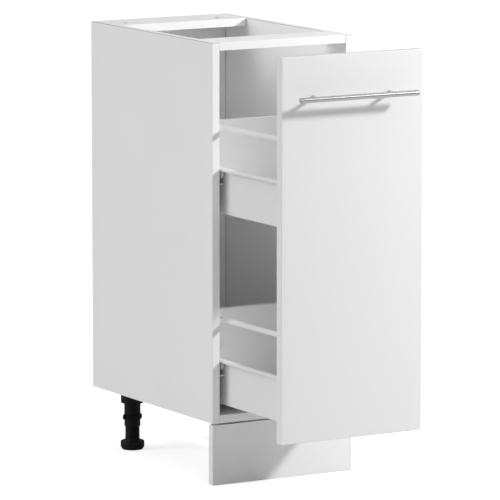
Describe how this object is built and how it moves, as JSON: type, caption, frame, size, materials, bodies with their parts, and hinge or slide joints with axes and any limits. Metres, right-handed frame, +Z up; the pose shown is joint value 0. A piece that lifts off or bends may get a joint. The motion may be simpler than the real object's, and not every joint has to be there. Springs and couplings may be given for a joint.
{
  "type": "kitchen base cabinet",
  "caption": "Narrow white kitchen base cabinet whose tall front draws out deep steel-sided drawers on roller runners; adjustable legs, clip-on plinth, bar handle.",
  "frame": {"origin": "on the floor, under the middle of the space that the cabinet takes up with its front drawn out as at rest", "axes": "+X to the cabinet's right, +Y to its back, +Z up; the front draws out along -Y"},
  "size_m": [0.3, 0.739, 0.82],
  "materials": {
    "carcass_white": "white melamine-faced chipboard, fine satin texture",
    "back_white": "white-faced hardboard, satin",
    "front_white": "smooth white laminate, soft gloss",
    "steel_white": "white powder coat",
    "handle_steel": "satin stainless steel",
    "fastener_steel": "zinc-plated steel",
    "leg_black": "black moulded plastic",
    "roller_nylon": "white nylon",
    "beech": "ribbed beech",
    "buffer_clear": "soft clear rubber"
  },
  "bodies": {
    "carcass": {"side_panel_left": "carcass_white", "side_panel_right": "carcass_white", "bottom_panel": "carcass_white", "front_rail": "carcass_white", "rear_rail": "carcass_white", "back_panel": "back_white", "carcass_dowels": "beech", "cam_housings": "fastener_steel", "cam_bolts": "fastener_steel", "plinth_board": "carcass_white", "plinth_clips": "leg_black", "plinth_clip_screws": "fastener_steel", "leg_socket_front_left": "leg_black", "leg_socket_front_right": "leg_black", "leg_socket_rear_left": "leg_black", "leg_socket_rear_right": "leg_black", "leg_screws": "fastener_steel", "runner_upper_left": "steel_white", "runner_upper_right": "steel_white", "runner_lower_left": "steel_white", "runner_lower_right": "steel_white", "runner_screws": "fastener_steel"},
    "pullout": {"front_panel": "front_white", "door_buffers": "buffer_clear", "handle_bar": "handle_steel", "handle_posts": "handle_steel", "handle_screws": "fastener_steel", "drawer_side_upper_left": "steel_white", "drawer_side_upper_right": "steel_white", "drawer_side_lower_left": "steel_white", "drawer_side_lower_right": "steel_white", "drawer_bottom_upper": "carcass_white", "drawer_bottom_lower": "carcass_white", "drawer_back_upper": "carcass_white", "drawer_back_lower": "carcass_white", "gallery_rods_upper": "steel_white", "gallery_rods_lower": "steel_white", "rod_cups": "steel_white", "rear_brackets_upper": "steel_white", "rear_brackets_lower": "steel_white", "front_brackets": "steel_white", "front_bracket_screws": "fastener_steel", "drawer_screws": "fastener_steel"},
    "cabinet_roller_upper_left": {"cabinet_roller_upper_left": "roller_nylon"},
    "cabinet_roller_upper_right": {"cabinet_roller_upper_right": "roller_nylon"},
    "cabinet_roller_lower_left": {"cabinet_roller_lower_left": "roller_nylon"},
    "cabinet_roller_lower_right": {"cabinet_roller_lower_right": "roller_nylon"},
    "drawer_roller_upper_left": {"drawer_roller_upper_left": "roller_nylon"},
    "drawer_roller_upper_right": {"drawer_roller_upper_right": "roller_nylon"},
    "drawer_roller_lower_left": {"drawer_roller_lower_left": "roller_nylon"},
    "drawer_roller_lower_right": {"drawer_roller_lower_right": "roller_nylon"},
    "leg_ring_front_left": {"leg_ring_front_left": "leg_black"},
    "leg_foot_front_left": {"leg_foot_front_left": "leg_black"},
    "leg_ring_front_right": {"leg_ring_front_right": "leg_black"},
    "leg_foot_front_right": {"leg_foot_front_right": "leg_black"},
    "leg_ring_rear_left": {"leg_ring_rear_left": "leg_black"},
    "leg_foot_rear_left": {"leg_foot_rear_left": "leg_black"},
    "leg_ring_rear_right": {"leg_ring_rear_right": "leg_black"},
    "leg_foot_rear_right": {"leg_foot_rear_right": "leg_black"}
  },
  "joints": [
    {"name": "pullout_slide", "type": "slide", "parent": "carcass", "child": "pullout", "axis": [0, -1, 0], "range_m": [-0.224, 0.074]},
    {"name": "cabinet_roller_upper_left_spin", "type": "hinge", "parent": "carcass", "child": "cabinet_roller_upper_left", "pos_m": [-0.1264, -0.0785, 0.5785], "axis": [1, 0, 0], "range_deg": [-1440, 540]},
    {"name": "cabinet_roller_upper_right_spin", "type": "hinge", "parent": "carcass", "child": "cabinet_roller_upper_right", "pos_m": [0.1264, -0.0785, 0.5785], "axis": [1, 0, 0], "range_deg": [-1440, 540]},
    {"name": "cabinet_roller_lower_left_spin", "type": "hinge", "parent": "carcass", "child": "cabinet_roller_lower_left", "pos_m": [-0.1264, -0.0785, 0.2235], "axis": [1, 0, 0], "range_deg": [-1440, 540]},
    {"name": "cabinet_roller_lower_right_spin", "type": "hinge", "parent": "carcass", "child": "cabinet_roller_lower_right", "pos_m": [0.1264, -0.0785, 0.2235], "axis": [1, 0, 0], "range_deg": [-1440, 540]},
    {"name": "drawer_roller_upper_left_spin", "type": "hinge", "parent": "pullout", "child": "drawer_roller_upper_left", "pos_m": [-0.1264, 0.0715, 0.5705], "axis": [1, 0, 0], "range_deg": [-1440, 540]},
    {"name": "drawer_roller_upper_right_spin", "type": "hinge", "parent": "pullout", "child": "drawer_roller_upper_right", "pos_m": [0.1264, 0.0715, 0.5705], "axis": [1, 0, 0], "range_deg": [-1440, 540]},
    {"name": "drawer_roller_lower_left_spin", "type": "hinge", "parent": "pullout", "child": "drawer_roller_lower_left", "pos_m": [-0.1264, 0.0715, 0.2155], "axis": [1, 0, 0], "range_deg": [-1440, 540]},
    {"name": "drawer_roller_lower_right_spin", "type": "hinge", "parent": "pullout", "child": "drawer_roller_lower_right", "pos_m": [0.1264, 0.0715, 0.2155], "axis": [1, 0, 0], "range_deg": [-1440, 540]},
    {"name": "leg_ring_front_left_turn", "type": "hinge", "parent": "carcass", "child": "leg_ring_front_left", "pos_m": [-0.1, -0.0425, 0.056], "axis": [0, 0, 1], "range_deg": [-1080, 1980]},
    {"name": "leg_foot_front_left_slide", "type": "slide", "parent": "carcass", "child": "leg_foot_front_left", "axis": [0, 0, -1], "range_m": [-0.01, 0.02]},
    {"name": "leg_ring_front_right_turn", "type": "hinge", "parent": "carcass", "child": "leg_ring_front_right", "pos_m": [0.1, -0.0425, 0.056], "axis": [0, 0, 1], "range_deg": [-1080, 1980]},
    {"name": "leg_foot_front_right_slide", "type": "slide", "parent": "carcass", "child": "leg_foot_front_right", "axis": [0, 0, -1], "range_m": [-0.01, 0.02]},
    {"name": "leg_ring_rear_left_turn", "type": "hinge", "parent": "carcass", "child": "leg_ring_rear_left", "pos_m": [-0.1, 0.3035, 0.056], "axis": [0, 0, 1], "range_deg": [-1080, 1980]},
    {"name": "leg_foot_rear_left_slide", "type": "slide", "parent": "carcass", "child": "leg_foot_rear_left", "axis": [0, 0, -1], "range_m": [-0.01, 0.02]},
    {"name": "leg_ring_rear_right_turn", "type": "hinge", "parent": "carcass", "child": "leg_ring_rear_right", "pos_m": [0.1, 0.3035, 0.056], "axis": [0, 0, 1], "range_deg": [-1080, 1980]},
    {"name": "leg_foot_rear_right_slide", "type": "slide", "parent": "carcass", "child": "leg_foot_rear_right", "axis": [0, 0, -1], "range_m": [-0.01, 0.02]}
  ],
  "couplings": [
    {"joint": "cabinet_roller_upper_left_spin", "follows": "pullout_slide", "rad_per_m": 111.11},
    {"joint": "cabinet_roller_upper_right_spin", "follows": "pullout_slide", "rad_per_m": 111.11},
    {"joint": "cabinet_roller_lower_left_spin", "follows": "pullout_slide", "rad_per_m": 111.11},
    {"joint": "cabinet_roller_lower_right_spin", "follows": "pullout_slide", "rad_per_m": 111.11},
    {"joint": "drawer_roller_upper_left_spin", "follows": "pullout_slide", "rad_per_m": 100},
    {"joint": "drawer_roller_upper_right_spin", "follows": "pullout_slide", "rad_per_m": 100},
    {"joint": "drawer_roller_lower_left_spin", "follows": "pullout_slide", "rad_per_m": 100},
    {"joint": "drawer_roller_lower_right_spin", "follows": "pullout_slide", "rad_per_m": 100},
    {"joint": "leg_ring_front_left_turn", "follows": "leg_foot_front_left_slide", "rad_per_m": 1570.8},
    {"joint": "leg_ring_front_right_turn", "follows": "leg_foot_front_right_slide", "rad_per_m": 1570.8},
    {"joint": "leg_ring_rear_left_turn", "follows": "leg_foot_rear_left_slide", "rad_per_m": 1570.8},
    {"joint": "leg_ring_rear_right_turn", "follows": "leg_foot_rear_right_slide", "rad_per_m": 1570.8}
  ]
}
